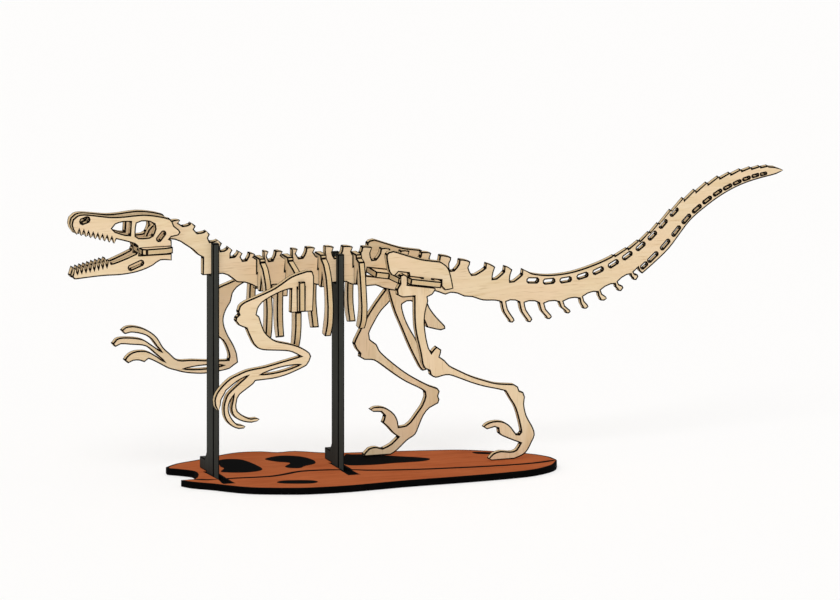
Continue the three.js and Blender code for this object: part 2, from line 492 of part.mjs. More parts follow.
// Pubis and ischium: one sheet beside the spine, its tab pushed up through the hip plate.
const PUBIS_TAB_X = [-13.5, -7.6];
const PUBIS = () => [
  [PUBIS_TAB_X[0], plateTop(PUBIS_TAB_X[0]) + 2.4], [-10.6, plateTop(-10.6) + 3],
  [PUBIS_TAB_X[1], plateTop(PUBIS_TAB_X[1]) + 1, 1], [PUBIS_TAB_X[1], plateUnder(PUBIS_TAB_X[1]), 1],
  [-5, plateUnder(-5), 1], [-1.5, 80], [1.5, 76.6], [3.2, 72.6], [6.4, 68.2], [10.6, 63.6],
  [10.8, 62.2], [8.6, 61.6], [2, 63.4, 1],
  [-3.4, 74.6], [-7.8, 76.2], [-10, 75], [-9.2, 70.3], [-6.9, 64.7], [-3.3, 58.4], [-0.4, 52.4],
  [2.2, 46], [1.8, 43.8], [-0.2, 43.4], [-1.6, 45.2], [-6.1, 54.1], [-10.4, 64.2], [-13.7, 72], [-16, 79.6], [-16.8, 83.4],
  [-16.6, plateUnder(-16.6), 1], [PUBIS_TAB_X[0], plateUnder(PUBIS_TAB_X[0]), 1],
];

// ---- stand --------------------------------------------------------------------------------------
const BASE_BACK_EDGE = [
  [-117.6, 17.6, 1], [-117.2, 20.8, 1], [-109.8, 27], [-97.5, 32], [-84.3, 38.6], [-74.6, 41.4], [-65, 39.8],
  [-58.4, 35.6], [-49.9, 35.6], [-39, 28.2], [-30, 24.8], [-6.7, 20.6], [10.6, 17], [22.2, 13.8],
  [33.2, 7.6], [47.9, -3.3], [54.6, -12.4], [56, -18.4],
];
const BASE_FRONT_EDGE = [
  [55.6, -23.4, 1], [51.4, -31.6], [40, -39], [23.7, -41.8], [1.1, -42.9], [-21, -43.2], [-36, -44.4],
  [-52, -45.6], [-70.3, -44.4], [-83.4, -40.5], [-95.9, -34.8], [-104.1, -27.3], [-109.2, -21.4],
  [-116.6, -14.8], [-120, -8.6, 1],
];
const SEAM = [    // the wavy joint between the two boards, from the nose notch to the tail end
  [-113.6, -8.2, 1], [-108, -11.6], [-95, -12.6], [-80, -14], [-72, -12], [-62, -7.8], [-49, -9], [-40, -12],
  [-29.5, -16.6], [-13.6, -20.5], [7.4, -23.6], [28.8, -25.4], [44, -25], [56, -22, 1],
];
const NOTCH = [[-109.6, 0.8], [-108.8, 8], [-112.2, 12.6]];

const POST_SLOT_Y = [-22, POST_WIDTH / 2 + FIT];

function makeBase(part) {
  const seamGap = part === 'back' ? REST / 2 : -REST / 2;
  const seam = SEAM.map(([x, y, c]) => [x, y + seamGap, c]);
  const outline = part === 'back'
    ? smooth([...seam, ...BASE_BACK_EDGE.slice().reverse(), ...NOTCH.slice().reverse()])
    : smooth([...seam, ...BASE_FRONT_EDGE]);
  let solid = flat(SHEET / 2, outline);
  for (const x of Object.values(POST_X)) solid = solid.subtract(block(band(x), POST_SLOT_Y, [-1, 5]));
  return solid;
}

// Upright: a forked strip with a foot that reaches back along the base and a tenon through it.
function makePost(x, top, seat) {
  const half = POST_WIDTH / 2;
  const under = BASE_TOP + REST;
  const outline = [
    [-half, 0.2], [half, 0.2], [half, under], [14, under], [14, under + 5.2], [half + 2.6, under + 5.2],
    [half, under + 9], [half, top], [-half, top],
  ];
  const slot = block([x - 5, x + 5], band(SPINE_Y), [seat - REST, top + 5]);
  return across(x, outline).subtract(slot);
}

// ---- assembly -------------------------------------------------------------------------------------
const PIECES = {
  base_back: [makeBase('back'), brownBoard],
  base_front: [makeBase('front'), brownBoard],
  post_front: [makePost(POST_X.post_front, 110.6, SEAT_Z.front), blackBoard],
  post_rear: [makePost(POST_X.post_rear, 101.5, SEAT_Z.rear), blackBoard],
  spine: [makeSpine(), plywood],
  skull_near: [makeSkull(-1), plywood],
  skull_far: [makeSkull(1), plywood],
  jaw_bar: [makeJawBar(), plywood],
  rib_front: [overSpine(RIB_X.rib_front, RIB_HALVES.rib_front), plywood],
  shoulder_girdle: [makeGirdle(), plywood],
  rib_middle: [overSpine(RIB_X.rib_middle, RIB_HALVES.rib_middle), plywood],
  rib_rear: [overSpine(RIB_X.rib_rear, RIB_HALVES.rib_rear), plywood],
  arm_near: [makeArm(-1, NEAR_ARM, lens(-75.8, 53.4, 18, 1.7, 10)), plywood],
  arm_far: [makeArm(1, FAR_ARM, lens(-100.5, 49.2, 18, 1.4, 1)), plywood],
  hip_plate: [makeHipPlate(), plywood],
  hip_bone_near: [along(-LEG_Y, iliumOutline()), plywood],
  hip_bone_far: [along(LEG_Y, iliumOutline()), plywood],
  leg_near: [along(-LEG_Y, smooth(NEAR_LEG())), plywood],
  leg_far: [along(LEG_Y, smooth(FAR_LEG())), plywood],
  pubis_plate: [along(PUBIS_Y, smooth(PUBIS())), plywood],
};

function toMesh(name, solid, material) {
  const { vertProperties, triVerts } = solid.getMesh();
  const geometry = new THREE.BufferGeometry();
  geometry.setAttribute('position', new THREE.BufferAttribute(vertProperties, 3));
  geometry.setIndex(new THREE.BufferAttribute(triVerts, 1));
  geometry.computeVertexNormals();
  const mesh = new THREE.Mesh(geometry, material());
  mesh.name = name;
  return mesh;
}

const skeleton = new THREE.Group();
for (const [name, [solid, material]] of Object.entries(PIECES)) skeleton.add(toMesh(name, solid, material));

export default skeleton;
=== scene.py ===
# %% [markdown]
# # A slotted wooden dinosaur skeleton
# The real thing is a kit: bones cut by laser from 3 mm plywood, pushed together at slots, and held up by two
# black forked uprights on a brown board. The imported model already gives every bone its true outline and
# place. This lesson adds what the laser, the sander and the paint brush leave on those sheets.

# %% Load the frame
import math
import random

import bmesh
import bpy
import numpy
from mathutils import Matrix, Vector
from mathutils.geometry import tessellate_polygon


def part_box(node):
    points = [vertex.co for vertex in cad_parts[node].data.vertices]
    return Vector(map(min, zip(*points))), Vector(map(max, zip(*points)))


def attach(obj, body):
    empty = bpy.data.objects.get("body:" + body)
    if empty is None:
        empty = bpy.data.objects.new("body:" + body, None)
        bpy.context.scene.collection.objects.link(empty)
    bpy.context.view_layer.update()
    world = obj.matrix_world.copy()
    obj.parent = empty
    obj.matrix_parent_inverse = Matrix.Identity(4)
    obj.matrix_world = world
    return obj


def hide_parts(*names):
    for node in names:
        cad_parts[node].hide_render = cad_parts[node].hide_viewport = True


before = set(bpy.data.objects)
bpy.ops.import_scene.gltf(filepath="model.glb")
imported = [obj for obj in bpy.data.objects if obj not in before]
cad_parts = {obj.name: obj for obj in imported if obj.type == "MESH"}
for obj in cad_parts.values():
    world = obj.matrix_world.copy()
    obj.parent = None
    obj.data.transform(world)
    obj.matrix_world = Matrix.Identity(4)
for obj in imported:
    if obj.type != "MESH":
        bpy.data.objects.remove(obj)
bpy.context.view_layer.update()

MM = 0.001

# %% [markdown]
# ## The view
# A parallel view keeps every 3 mm edge the same size, near or far, as in a maker's drawing. In Blender that is
# an orthographic camera. Its scale is the width of what it sees, and only its direction matters, so it stands
# well back, to the left of the dinosaur's near side and a little above it.

# %% Camera
VIEW_WIDTH = 840 / 2.2 * MM          # the whole model with room round it
VIEW_AZIMUTH = math.radians(-19.0)
VIEW_ELEVATION = math.radians(11.85)
VIEW_CENTRE = Vector((-2.16, 0.0, 76.88)) * MM

toward_camera = Vector((
    math.sin(VIEW_AZIMUTH) * math.cos(VIEW_ELEVATION),
    -math.cos(VIEW_AZIMUTH) * math.cos(VIEW_ELEVATION),
    math.sin(VIEW_ELEVATION),
))
camera_data = bpy.data.cameras.new("camera")
camera_data.type = "ORTHO"
camera_data.ortho_scale = VIEW_WIDTH
camera_data.clip_end = 20.0
camera = bpy.data.objects.new("camera", camera_data)
bpy.context.scene.collection.objects.link(camera)
camera.location = VIEW_CENTRE + toward_camera * 1.2
camera.rotation_euler = toward_camera.to_track_quat("Z", "Y").to_euler()
bpy.context.scene.camera = camera
print("camera looks along", [round(-v, 3) for v in toward_camera])

# %% [markdown]
# ## Helpers for finishes
# Colours are written as sRGB hex, because that is how a paint or a wood sample is usually matched by eye.
# Blender's sockets want linear values, so one function turns them. One more adds a shader node with its
# settings and its links, which keeps each finish readable as a short list of steps.

# %% Colour and node helpers
def colour(hex_code):
    """An sRGB hex colour as the linear RGBA that a socket takes."""
    channels = [int(hex_code[i:i + 2], 16) / 255 for i in (1, 3, 5)]
    return (*(c / 12.92 if c <= 0.04045 else ((c + 0.055) / 1.055) ** 2.4 for c in channels), 1.0)


def add(tree, kind, inputs=(), **settings):
    """Adds a shader node. inputs gives values, or links as (node, output)."""
    node = tree.nodes.new("ShaderNode" + kind)
    for name, value in settings.items():
        setattr(node, name, value)
    for name, value in dict(inputs).items():
        if isinstance(value, tuple) and isinstance(value[0], bpy.types.Node):
            tree.links.new(value[0].outputs[value[1]], node.inputs[name])
        else:
            node.inputs[name].default_value = value
    return node


def new_finish(name):
    """An empty material with its output node, and its tree."""
    material = bpy.data.materials.new(name)
    material.use_nodes = True
    material.node_tree.nodes.clear()
    return material, material.node_tree


def close_finish(tree, surface):
    """Links a shader to the material's output."""
    add(tree, "OutputMaterial", {"Surface": (surface, "BSDF")})


# %% [markdown]
# ## Board coordinates
# Wood figure follows the board it was cut from, not the room. So each sheet carries a vector named board on its
# points, in millimetres: along the grain, across it, and through the thickness. A shader that reads it works
# for a bone that stands, lies or leans. Blender can also do this with a UV map, but a sheet has no seams to
# hide here, and a plain linear vector needs no unwrapping.

# %% Wood figure shared by the plywood and the stained board
FIGURE_MM = 2.6       # width of one pale or dark streak across the grain
PORE_MM = 0.45        # drawn four times as wide as a real birch pore, so that it shows at all
FIGURE_STRETCH = 0.07 # a streak is about 14 times as long as it is wide
PORE_STRETCH = 0.06


def wood_figure(tree):
    """Streaks, pores and cloudy patches of a rotary-cut veneer, each from 0 to 1."""
    board = add(tree, "Attribute", attribute_name="board")
    bend = add(tree, "TexNoise", {"Vector": (board, "Vector"), "Scale": 1 / 38, "Detail": 1.0})
    bent = add(tree, "VectorMath", {0: (bend, "Color"), 1: (0.0, 9.0, 0.0)}, operation="MULTIPLY")
    wavy = add(tree, "VectorMath", {0: (board, "Vector"), 1: (bent, "Vector")}, operation="ADD")
    long_way = add(tree, "VectorMath", {0: (wavy, "Vector"), 1: (FIGURE_STRETCH, 1.0, 1.0)}, operation="MULTIPLY")
    streaks = add(tree, "TexNoise", {
        "Vector": (long_way, "Vector"), "Scale": 1 / FIGURE_MM, "Detail": 3.0, "Roughness": 0.55})
    thin_way = add(tree, "VectorMath", {0: (board, "Vector"), 1: (PORE_STRETCH, 1.0, 1.0)}, operation="MULTIPLY")
    pores = add(tree, "TexNoise", {"Vector": (thin_way, "Vector"), "Scale": 1 / PORE_MM, "Detail": 1.0})
    pore_marks = add(tree, "MapRange", {
        "Value": (pores, "Fac"), "From Min": 0.60, "From Max": 0.74, "To Min": 0.0, "To Max": 1.0})
    clouds = add(tree, "TexNoise", {"Vector": (board, "Vector"), "Scale": 1 / 24, "Detail": 2.0})
    return board, streaks, pore_marks, clouds


# %% [markdown]
# ## Plywood face
# Birch or poplar plywood, sanded and left bare. It gives the eye a pale straw colour with low, wavy streaks and
# short darker pores, and hardly any gloss. Bare sanded wood is close to IOR 1.5 and roughness 0.6. The pores are
# also cut a few hundredths of a millimetre into the surface with a bump.

# %% Sanded plywood
def make_plywood_face():
    material, tree = new_finish("sanded_plywood")
    board, streaks, pores, clouds = wood_figure(tree)
    streak_mix = add(tree, "MapRange", {
        "Value": (streaks, "Fac"), "From Min": 0.34, "From Max": 0.66, "To Min": 0.0, "To Max": 1.0})
    wood = add(tree, "Mix", {0: (streak_mix, "Result"), 6: colour("#e4ceaa"), 7: colour("#d9bf95")},
               data_type="RGBA")
    cloud_mix = add(tree, "MapRange", {
        "Value": (clouds, "Fac"), "From Min": 0.40, "From Max": 0.65, "To Min": 0.0, "To Max": 0.7})
    rosy = add(tree, "Mix", {0: (cloud_mix, "Result"), 6: (wood, 2), 7: colour("#e3c6a2")}, data_type="RGBA")
    pore_depth = add(tree, "Math", {0: (pores, "Result"), 1: 0.42}, operation="MULTIPLY")
    pored = add(tree, "Mix", {0: (pore_depth, "Value"), 6: (rosy, 2), 7: colour("#b4905f")}, data_type="RGBA")
    rough = add(tree, "MapRange", {
        "Value": (streaks, "Fac"), "From Min": 0.3, "From Max": 0.7, "To Min": 0.56, "To Max": 0.68})
    bump = add(tree, "Bump", {"Height": (pores, "Result"), "Strength": 0.25, "Distance": 0.00004}, invert=True)
    close_finish(tree, add(tree, "BsdfPrincipled", {
        "Base Color": (pored, 2), "Roughness": (rough, "Result"), "IOR": 1.5, "Normal": (bump, "Normal")}))
    return material


plywood_face = make_plywood_face()

# %% [markdown]
# ## Plywood edge
# A laser cuts through three veneers of 1 mm. The middle one shows its end grain, a touch darker, and the two
# glue lines are thin brown threads. The wall is lightly toasted, in stripes as close as the laser's pulses.

# %% Laser-cut edge
PLY_MM = 1.0          # three veneers in a 3 mm sheet
GLUE_MM = 0.12        # a glue line, drawn about twice its real width
PULSE_MM = 0.5        # toasted stripes down the cut wall


def make_plywood_edge():
    material, tree = new_finish("laser_cut_plywood_edge")
    board = add(tree, "Attribute", attribute_name="board")
    parts = add(tree, "SeparateXYZ", {"Vector": (board, "Vector")})
    depth = add(tree, "Math", {0: (parts, "Z")}, operation="ABSOLUTE")
    core = add(tree, "Math", {0: (depth, "Value"), 1: PLY_MM / 2}, operation="LESS_THAN")
    from_glue = add(tree, "Math", {0: (depth, "Value"), 1: PLY_MM / 2}, operation="SUBTRACT")
    glue_gap = add(tree, "Math", {0: (from_glue, "Value")}, operation="ABSOLUTE")
    glue = add(tree, "MapRange", {
        "Value": (glue_gap, "Value"), "From Min": 0.0, "From Max": GLUE_MM, "To Min": 0.45, "To Max": 0.0})
    veneer = add(tree, "Mix", {0: (core, "Value"), 6: colour("#dcc49a"), 7: colour("#d0b488")}, data_type="RGBA")
    flat_way = add(tree, "VectorMath", {0: (board, "Vector"), 1: (1.0, 1.0, 0.08)}, operation="MULTIPLY")
    pulses = add(tree, "TexNoise", {"Vector": (flat_way, "Vector"), "Scale": 1 / PULSE_MM, "Detail": 2.0})
    toast = add(tree, "MapRange", {
        "Value": (pulses, "Fac"), "From Min": 0.45, "From Max": 0.75, "To Min": 0.0, "To Max": 0.5})
    glued = add(tree, "Mix", {0: (glue, "Result"), 6: (veneer, 2), 7: colour("#8a6842")}, data_type="RGBA")
    toasted = add(tree, "Mix", {0: (toast, "Result"), 6: (glued, 2), 7: colour("#b9935f")}, data_type="RGBA")
    bump = add(tree, "Bump", {"Height": (pulses, "Fac"), "Strength": 0.3, "Distance": 0.00005})
    close_finish(tree, add(tree, "BsdfPrincipled", {
        "Base Color": (toasted, 2), "Roughness": 0.7, "IOR": 1.5, "Normal": (bump, "Normal")}))
    return material


plywood_edge = make_plywood_edge()

# %% [markdown]
# ## Char line
# Where the beam enters and leaves, the arris burns to soot: a matt brown-black line round every bone, half a
# millimetre wide on the face and on the wall. It is what draws the skeleton. Soot scatters light, so it is
# rough, and its colour drifts a little between black and burnt umber.

# %% Laser char
def make_char():
    material, tree = new_finish("laser_char")
    board = add(tree, "Attribute", attribute_name="board")
    drift = add(tree, "TexNoise", {"Vector": (board, "Vector"), "Scale": 1 / 1.5, "Detail": 3.0})
    burnt = add(tree, "MapRange", {
        "Value": (drift, "Fac"), "From Min": 0.45, "From Max": 0.7, "To Min": 0.0, "To Max": 1.0})
    soot = add(tree, "Mix", {0: (burnt, "Result"), 6: colour("#0a0806"), 7: colour("#1f160e")}, data_type="RGBA")
    close_finish(tree, add(tree, "BsdfPrincipled", {
        "Base Color": (soot, 2), "Roughness": 0.9, "IOR": 1.45, "Specular IOR Level": 0.03}))
    return material


laser_char = make_char()

# %% [markdown]
# ## Stained board
# The base is the same wood, wiped with a red-brown water stain and left almost matt. Stain sinks deeper
# into the soft early wood, so the streaks turn darker instead of paler. Its IOR is that of the wood, 1.5, and its
# reflection is turned far down.

# %% Brown water stain
def make_stain():
    material, tree = new_finish("brown_water_stain")
    board, streaks, pores, clouds = wood_figure(tree)
    streak_mix = add(tree, "MapRange", {
        "Value": (streaks, "Fac"), "From Min": 0.35, "From Max": 0.65, "To Min": 0.0, "To Max": 1.0})
    wood = add(tree, "Mix", {0: (streak_mix, "Result"), 6: colour("#aa5a33"), 7: colour("#9c4f2a")},
               data_type="RGBA")
    cloud_mix = add(tree, "MapRange", {
        "Value": (clouds, "Fac"), "From Min": 0.4, "From Max": 0.7, "To Min": 0.0, "To Max": 0.5})
    cloudy = add(tree, "Mix", {0: (cloud_mix, "Result"), 6: (wood, 2), 7: colour("#b06239")}, data_type="RGBA")
    pore_depth = add(tree, "Math", {0: (pores, "Result"), 1: 0.5}, operation="MULTIPLY")
    pored = add(tree, "Mix", {0: (pore_depth, "Value"), 6: (cloudy, 2), 7: colour("#6e3219")}, data_type="RGBA")
    bump = add(tree, "Bump", {"Height": (pores, "Result"), "Strength": 0.2, "Distance": 0.00004}, invert=True)
    close_finish(tree, add(tree, "BsdfPrincipled", {
        "Base Color": (pored, 2), "Roughness": 0.8, "IOR": 1.5, "Specular IOR Level": 0.03,
        "Normal": (bump, "Normal")}))
    return material


brown_stain = make_stain()

# %% [markdown]
# ## Black paint and grey-black paint
# The base's rim and the arrises of the uprights are brushed with matt black acrylic, and the black spots on the
# board are given the same finish. The uprights themselves have a thinner coat that dries to a warm charcoal grey.
# Brush hairs leave fine ridges along the grain, which the two paints share, with a low sheen.

# %% Acrylic paints
BRUSH_MM = 0.6        # spacing of the brush ridges


def make_paint(name, dark, light, roughness):
    material, tree = new_finish(name)
    board = add(tree, "Attribute", attribute_name="board")
    long_way = add(tree, "VectorMath", {0: (board, "Vector"), 1: (0.04, 1.0, 1.0)}, operation="MULTIPLY")
    ridges = add(tree, "TexNoise", {"Vector": (long_way, "Vector"), "Scale": 1 / BRUSH_MM, "Detail": 2.0})
    mix = add(tree, "MapRange", {
        "Value": (ridges, "Fac"), "From Min": 0.35, "From Max": 0.65, "To Min": 0.0, "To Max": 1.0})
    coat = add(tree, "Mix", {0: (mix, "Result"), 6: colour(dark), 7: colour(light)}, data_type="RGBA")
    bump = add(tree, "Bump", {"Height": (ridges, "Fac"), "Strength": 0.15, "Distance": 0.00003})
    close_finish(tree, add(tree, "BsdfPrincipled", {
        "Base Color": (coat, 2), "Roughness": roughness, "IOR": 1.48, "Specular IOR Level": 0.03,
        "Normal": (bump, "Normal")}))
    return material


black_paint = make_paint("matt_black_acrylic", "#020202", "#060505", 0.8)
charcoal_paint = make_paint("charcoal_acrylic", "#343532", "#3c3d39", 0.7)

# %% [markdown]
# ## Reading a sheet's outline
# Each bone is cut straight through its board, so its outline says everything. It is read back from the packed
# model: the edges of one broad face that no second triangle of that face shares. Walked in order they give one
# loop round the outside and one round each hole, always with the wood on the left. That order matters,
# because "inwards" is then always to the left of the way the loop runs.

# %% Read the outlines
X, Y, Z = Vector((1, 0, 0)), Vector((0, 1, 0)), Vector((0, 0, 1))
HIP_SLOPE = math.radians(9.6)
LEAN = Vector((math.sin(HIP_SLOPE), 0, math.cos(HIP_SLOPE)))
TOE_IN = math.radians(4.6)
NEAR_SKULL = Vector((math.cos(TOE_IN), -math.sin(TOE_IN), 0))    # the skull's sides lean together
FAR_SKULL = Vector((math.cos(TOE_IN), math.sin(TOE_IN), 0))


def read_outline(node, through, grain):
    """The loops of a sheet, in millimetres along the grain and across it, with its two depths."""
    mesh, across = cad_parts[node].data, through.cross(grain)
    place = [
        tuple(round(v.co.dot(axis) / MM, 3) for axis in (grain, across, through)) for v in mesh.vertices]
    depths = sorted({key[2] for key in place})
    low, high = depths[0], depths[-1]
    directed = set()
    for triangle in mesh.polygons:
        corners = [place[i] for i in triangle.vertices]
        if all(abs(c[2] - high) < 0.01 for c in corners):
            directed |= {(c[:2], d[:2]) for c, d in zip(corners, corners[1:] + corners[:1])}
    onward = {start: end for start, end in directed if (end, start) not in directed and start != end}
    loops = []
    while onward:
        start, here = onward.popitem()
        loop = [start]
        while here != start:
            loop.append(here)
            here = onward.pop(here)
        loops.append(loop)
    return loops, low, high


# %% [markdown]
# ## Char beside every sharp corner
# The soot line also runs down the wall wherever the outline turns sharply, such as at the end of a rib. Two
# extra points near each sharp corner mark that strip. Points on a straight run are dropped first, and where a
# curve turns gently nothing is added, so round bones keep clean walls.

# %% Mark the sharp corners
SHARP_TURN = math.radians(32)
STRAIGHT = math.radians(0.4)


def turn(before, here, after):
    """How far a loop turns at a point, left being positive."""
    a, b = here - before, after - here
    return math.atan2(a.x * b.y - a.y * b.x, a.dot(b))


def mark_corners(loop, line_mm):
    """The loop with two points beside each sharp corner, and which of its segments are charred."""
    points = [Vector(p) for p in loop]
    count = len(points)
    bends = [turn(points[i - 1], points[i], points[(i + 1) % count]) for i in range(count)]
    kept = [(p, bend) for p, bend in zip(points, bends) if abs(bend) > STRAIGHT]
    out, charred = [], []
    for i, (p, bend) in enumerate(kept):
        before, after = kept[i - 1][0], kept[(i + 1) % len(kept)][0]
        if abs(bend) < SHARP_TURN:
            out.append(p)
            charred.append(False)
            continue
        for other, place in ((before, 0), (after, 2)):
            reach = min(line_mm, 0.4 * (other - p).length)
            near = p + (other - p).normalized() * reach
            if place == 0:
                out += [near, p]
                charred += [True, True]
            else:
                out.append(near)
                charred.append(False)
    return out, charred


# %% [markdown]
# ## Setting the char line back
# The soot line on a broad face runs a fixed distance inside the outline, except where a tooth or a claw is too
# narrow for two of them. So each point looks across the wood to the far side and takes less than half of
# what it finds. Any stretch that would still fold or cross is eased until it doesn't. Blender's own bevel
# tangles in the tail's narrow slits, which is why this is worked out by hand.

# %% Set back
ROOM_SHARE = 0.42     # of the wood straight across from a point
MOST_LEAN = 0.34      # keeps the line from running far into an acute tip
EASE = 0.8
FOLD = 0.08


def cross_table(steps, gaps_x, gaps_y):
    """The cross product of each step with each gap."""
    return steps[:, None, 0] * gaps_y - steps[:, None, 1] * gaps_x


def set_back(loops, width):
    """How far, and which way, each point of the loops moves inwards."""
    here = numpy.array([tuple(p) for loop in loops for p in loop])
    after, before, first = [], [], 0
    for loop in loops:
        ring = list(range(first, first + len(loop)))
        after += ring[1:] + ring[:1]
        before += ring[-1:] + ring[:-1]
        first += len(loop)
    step = here[after] - here
    unit = step / numpy.linalg.norm(step, axis=1)[:, None]
    left = numpy.stack([-unit[:, 1], unit[:, 0]], axis=1)
    inward = left + left[before]
    inward /= numpy.linalg.norm(inward, axis=1)[:, None]
    lean = numpy.maximum(MOST_LEAN, (inward * left).sum(1))
    # one ray from each point against every segment of the outline
    gap_x = here[None, :, 0] - here[:, None, 0]
    gap_y = here[None, :, 1] - here[:, None, 1]
    spread = cross_table(inward, step[None, :, 0], step[None, :, 1])
    spread[abs(spread) < 1e-9] = 1e-9
    far = (gap_x * step[None, :, 1] - gap_y * step[None, :, 0]) / spread
    on = (gap_x * inward[:, None, 1] - gap_y * inward[:, None, 0]) / spread
    far[(far < 1e-3) | (on < -1e-6) | (on > 1 + 1e-6)] = numpy.inf
    shift = inward * numpy.minimum(width / lean, ROOM_SHARE * far.min(axis=1))[:, None]
    for _ in range(60):
        moved = here + shift
        new_step = moved[after] - moved
        folded = (new_step * step).sum(1) < FOLD * (step * step).sum(1)
        side = cross_table(
            new_step, moved[None, :, 0] - moved[:, None, 0], moved[None, :, 1] - moved[:, None, 1])
        splits = side * side[:, after] < -1e-9
        bad = numpy.flatnonzero(folded | (splits & splits.T).any(axis=1))
        if not len(bad):
            break
        eased = numpy.union1d(bad, numpy.array(after)[bad])
        shift[eased] *= EASE
    return shift


# %% [markdown]
# ## Dressing a sheet
# A sheet is now knitted from rings. From the top: the inner side of the soot line, the broken arris (a tenth of
# a millimetre of sanding), the soot on the wall, and the clean wall, and the same again below. Rings share
# their points, so the mesh is closed. The broad faces are filled inside the innermost ring, holes left out.

# %% Dress one sheet
ARRIS_MM = 0.1
random.seed(7)
FACE, EDGE, LINE = 0, 1, 2


def dress(node, body, through, grain, face, edge, line, line_mm):
    """Rebuilds a sheet with charred arrises, board coordinates and three finishes."""
    across = through.cross(grain)
    raw, low, high = read_outline(node, through, grain)
    marked = [mark_corners(loop, line_mm) for loop in raw]
    loops, charred = [m[0] for m in marked], [m[1] for m in marked]
    shifts = iter(set_back(loops, line_mm).tolist())
    inward = [[Vector(next(shifts)) for _ in loop] for loop in loops]
    rings = [  # how far in, of the line's width, and how deep in the sheet
        (1.0, high), (ARRIS_MM / line_mm, high), (0.0, high - ARRIS_MM), (0.0, high - line_mm),
        (0.0, low + line_mm), (0.0, low + ARRIS_MM), (ARRIS_MM / line_mm, low), (1.0, low)]
    points, faces, finishes, first = [], [], [], []
    for loop, shift in zip(loops, inward):
        first.append(len(points))
        for share, depth in rings:
            points += [(*(p + share * s), depth) for p, s in zip(loop, shift)]
    for loop, burnt, start in zip(loops, charred, first):
        count = len(loop)
        for ring in range(len(rings) - 1):
            for i in range(count):
                j = (i + 1) % count
                upper, lower = start + ring * count, start + (ring + 1) * count
                faces.append((upper + i, lower + i, lower + j, upper + j))
                finishes.append(EDGE if ring == 3 and not burnt[i] else LINE)
    for ring, upward in ((0, True), (len(rings) - 1, False)):
        edge_loops = [
            [start + ring * len(loop) + i for i in range(len(loop))] for loop, start in zip(loops, first)]
        order = [i for edge_loop in edge_loops for i in edge_loop]
        for triple in tessellate_polygon([[Vector((*points[i][:2], 0)) for i in lp] for lp in edge_loops]):
            one, two, three = (order[k] for k in triple)
            a, b, c = (Vector(points[k][:2]) for k in (one, two, three))
            rising = (b - a).x * (c - a).y - (b - a).y * (c - a).x > 0
            faces.append((one, two, three) if rising == upward else (one, three, two))
            finishes.append(FACE)
    mesh = bpy.data.meshes.new(node + "_sheet")
    mesh.from_pydata([(grain * u + across * v + through * w) * MM for u, v, w in points], [], faces)
    for material in (face, edge, line):
        mesh.materials.append(material)
    mesh.polygons.foreach_set("material_index", finishes)
    mesh.polygons.foreach_set("use_smooth", [True] * len(faces))
    mesh.set_sharp_from_angle(angle=math.radians(25))
    board = mesh.attributes.new("board", "FLOAT_VECTOR", "POINT")
    start_u, start_v, middle = random.uniform(0, 900), random.uniform(0, 900), (low + high) / 2
    board.data.foreach_set("vector", [
        c for u, v, w in points for c in (u + start_u, v + start_v, w - middle)])
    mesh.update()
    piece = bpy.data.objects.new(node + "_sheet", mesh)
    bpy.context.scene.collection.objects.link(piece)
    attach(piece, body)
    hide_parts(node)
    return piece


# %% [markdown]
# ## The bones
# The long sheets stand upright along the body, so they are cut through along Y with the grain lengthwise. The
# ribs and the shoulder girdle stand across it, and the jaw bar and the hip plate lie flat or nearly so.

# %% Dress the bones
BONE_LINE = 0.62      # millimetres of char on each side of an arris
BONES = {
    "spine": ("skeleton", Y, X),
    "skull_near": ("skeleton", Z.cross(NEAR_SKULL), NEAR_SKULL),
    "skull_far": ("skeleton", Z.cross(FAR_SKULL), FAR_SKULL),
    "jaw_bar": ("skeleton", Z, X),
    "rib_front": ("front_rib", X, Z),
    "shoulder_girdle": ("girdle", X, Z),
    "rib_middle": ("middle_rib", X, Z),
    "rib_rear": ("rear_rib", X, Z),
    "arm_near": ("near_arm", Y, X),
    "arm_far": ("far_arm", Y, X),
    "hip_plate": ("skeleton", LEAN, Y),
    "hip_bone_near": ("near_hip_bone", Y, X),
    "hip_bone_far": ("far_hip_bone", Y, X),
    "leg_near": ("skeleton", Y, Z),
    "leg_far": ("skeleton", Y, Z),
    "pubis_plate": ("skeleton", Y, Z),
}
for bone, (body, through, grain) in BONES.items():
    sheet = dress(bone, body, through, grain, plywood_face, plywood_edge, laser_char, BONE_LINE)
    print(bone, len(sheet.data.polygons), "faces")

# %% [markdown]
# ## The stand
# Two boards meet on a wavy seam, and two uprights stand in slots through them. The boards' rims are painted
# black all the way round, the seam with them, so the same dressing serves with other finishes.

# %% Dress the stand
BOARD_LINE = 1.3      # the painted rim
POST_LINE = 0.45
for board_name in ("base_back", "base_front"):
    board_sheet = dress(board_name, "stand", Z, X, brown_stain, black_paint, black_paint, BOARD_LINE)
for post_name in ("post_front", "post_rear"):
    post_sheet = dress(post_name, "stand", X, Z, charcoal_paint, charcoal_paint, black_paint, POST_LINE)
print("stand dressed")
